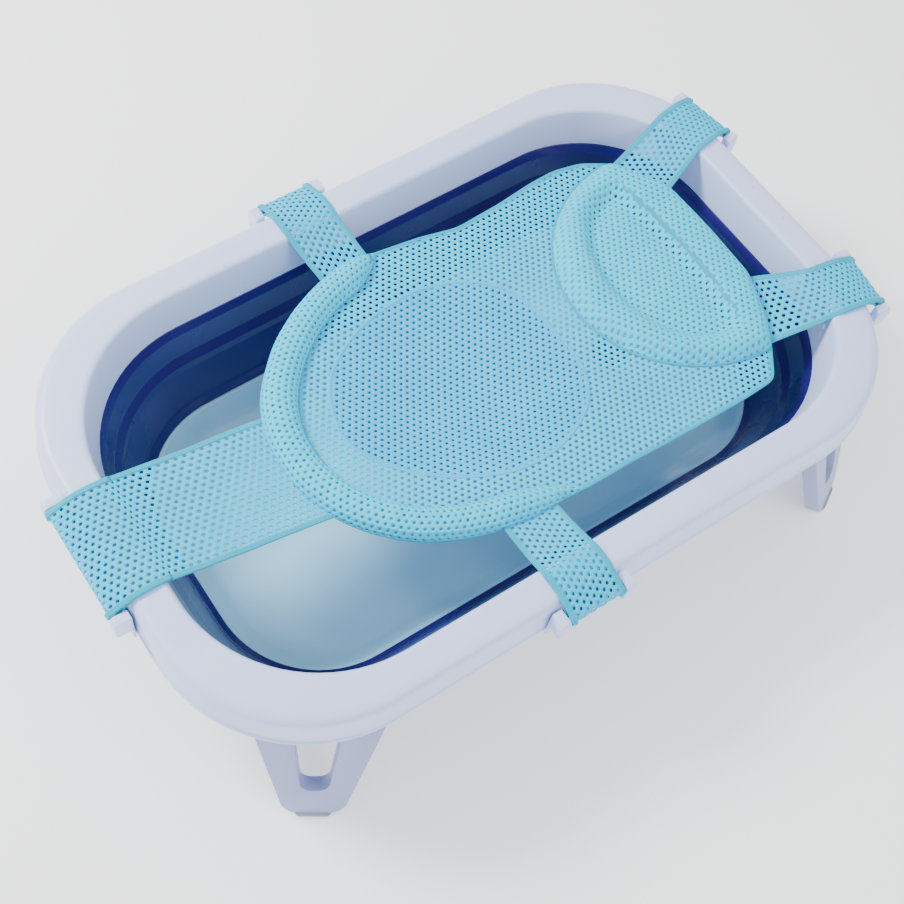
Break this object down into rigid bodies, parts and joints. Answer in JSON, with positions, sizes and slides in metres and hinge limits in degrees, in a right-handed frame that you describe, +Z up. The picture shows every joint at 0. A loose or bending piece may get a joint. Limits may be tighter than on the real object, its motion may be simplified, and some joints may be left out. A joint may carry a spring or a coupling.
{
  "type": "baby bathtub",
  "caption": "Folding baby bathtub: stiff rim, collapsible soft wall, hard base tray, hinged loop legs and a hooked mesh sling with padded hip ring and head bolster.",
  "frame": {"origin": "on the floor, under the middle of the object's bounding box", "axes": "+Z up, +X towards the head end, +Y to the back"},
  "size_m": [0.8601, 0.5698, 0.1953],
  "materials": {
    "white_plastic": "satin, fine grain",
    "hook_plastic": "satin",
    "navy_rubber": "glossy",
    "tray_plastic": "glossy, fine lines",
    "pad_rubber": "matte",
    "plug_rubber": "satin",
    "steel": "brushed",
    "sling_mesh": "perforated polyester mesh",
    "seat_mesh": "fine polyester mesh",
    "padded_mesh": "padded polyester mesh"
  },
  "bodies": {
    "frame": {"rim_frame": "white_plastic", "soft_wall": "navy_rubber", "sling_mesh": "sling_mesh", "sling_seat": "seat_mesh", "hip_ring": "padded_mesh", "head_pillow": "padded_mesh", "hinge_block_screws": "steel", "hinge_block_front_left": "white_plastic", "hinge_block_front_right": "white_plastic", "hinge_block_back_left": "white_plastic", "hinge_block_back_right": "white_plastic", "hinge_pin_front_left": "steel", "hinge_pin_front_right": "steel", "hinge_pin_back_left": "steel", "hinge_pin_back_right": "steel", "strap_foot": "sling_mesh", "strap_back": "sling_mesh", "strap_front": "sling_mesh", "strap_head_back": "sling_mesh", "strap_head_front": "sling_mesh"},
    "base": {"base_tray": "tray_plastic", "base_pads": "pad_rubber"},
    "plug": {"drain_plug": "plug_rubber"},
    "leg_front_left": {"leg_front_left": "white_plastic", "foot_pad_front_left": "pad_rubber"},
    "leg_front_right": {"leg_front_right": "white_plastic", "foot_pad_front_right": "pad_rubber"},
    "leg_back_left": {"leg_back_left": "white_plastic", "foot_pad_back_left": "pad_rubber"},
    "leg_back_right": {"leg_back_right": "white_plastic", "foot_pad_back_right": "pad_rubber"},
    "hook_foot": {"hook_foot": "hook_plastic", "strap_loop_foot": "sling_mesh"},
    "hook_back": {"hook_back": "hook_plastic", "strap_loop_back": "sling_mesh"},
    "hook_front": {"hook_front": "hook_plastic", "strap_loop_front": "sling_mesh"},
    "hook_head_back": {"hook_head_back": "hook_plastic", "strap_loop_head_back": "sling_mesh"},
    "hook_head_front": {"hook_head_front": "hook_plastic", "strap_loop_head_front": "sling_mesh"}
  },
  "joints": [
    {"name": "collapse", "type": "slide", "parent": "frame", "child": "base", "axis": [0, 0, 1], "range_m": [0, 0.118], "deforming": ["soft_wall"]},
    {"name": "plug_lift", "type": "slide", "parent": "base", "child": "plug", "axis": [0, 0, 1], "range_m": [0, 0.007]},
    {"name": "fold_front_left", "type": "hinge", "parent": "frame", "child": "leg_front_left", "pos_m": [-0.31714, -0.20837, 0.137], "axis": [0.829, -0.5592, 0], "range_deg": [0, 94]},
    {"name": "fold_front_right", "type": "hinge", "parent": "frame", "child": "leg_front_right", "pos_m": [0.29673, -0.22685, 0.137], "axis": [0.891, 0.454, 0], "range_deg": [0, 94]},
    {"name": "fold_back_left", "type": "hinge", "parent": "frame", "child": "leg_back_left", "pos_m": [-0.31714, 0.20837, 0.137], "axis": [-0.829, -0.5592, 0], "range_deg": [0, 94]},
    {"name": "fold_back_right", "type": "hinge", "parent": "frame", "child": "leg_back_right", "pos_m": [0.29673, 0.22685, 0.137], "axis": [-0.891, 0.454, 0], "range_deg": [0, 94]},
    {"name": "unhook_foot", "type": "hinge", "parent": "frame", "child": "hook_foot", "pos_m": [-0.41205, 0.009, 0.191], "axis": [0, 1, 0], "range_deg": [0, 50]},
    {"name": "unhook_back", "type": "hinge", "parent": "frame", "child": "hook_back", "pos_m": [-0.06005, 0.25472, 0.191], "axis": [0.9998, 0.022, 0], "range_deg": [0, 50]},
    {"name": "unhook_front", "type": "hinge", "parent": "frame", "child": "hook_front", "pos_m": [-0.06005, -0.25472, 0.191], "axis": [-0.9998, 0.022, 0], "range_deg": [0, 50]},
    {"name": "unhook_head_back", "type": "hinge", "parent": "frame", "child": "hook_head_back", "pos_m": [0.40604, 0.13082, 0.191], "axis": [0.1564, -0.9877, 0], "range_deg": [0, 50]},
    {"name": "unhook_head_front", "type": "hinge", "parent": "frame", "child": "hook_head_front", "pos_m": [0.40604, -0.13082, 0.191], "axis": [-0.1564, -0.9877, 0], "range_deg": [0, 50]}
  ],
  "couplings": [
    {"joint": "fold_front_left", "follows": "collapse", "rad_per_m": 13.902},
    {"joint": "fold_front_right", "follows": "collapse", "rad_per_m": 13.902},
    {"joint": "fold_back_left", "follows": "collapse", "rad_per_m": 13.902},
    {"joint": "fold_back_right", "follows": "collapse", "rad_per_m": 13.902}
  ]
}
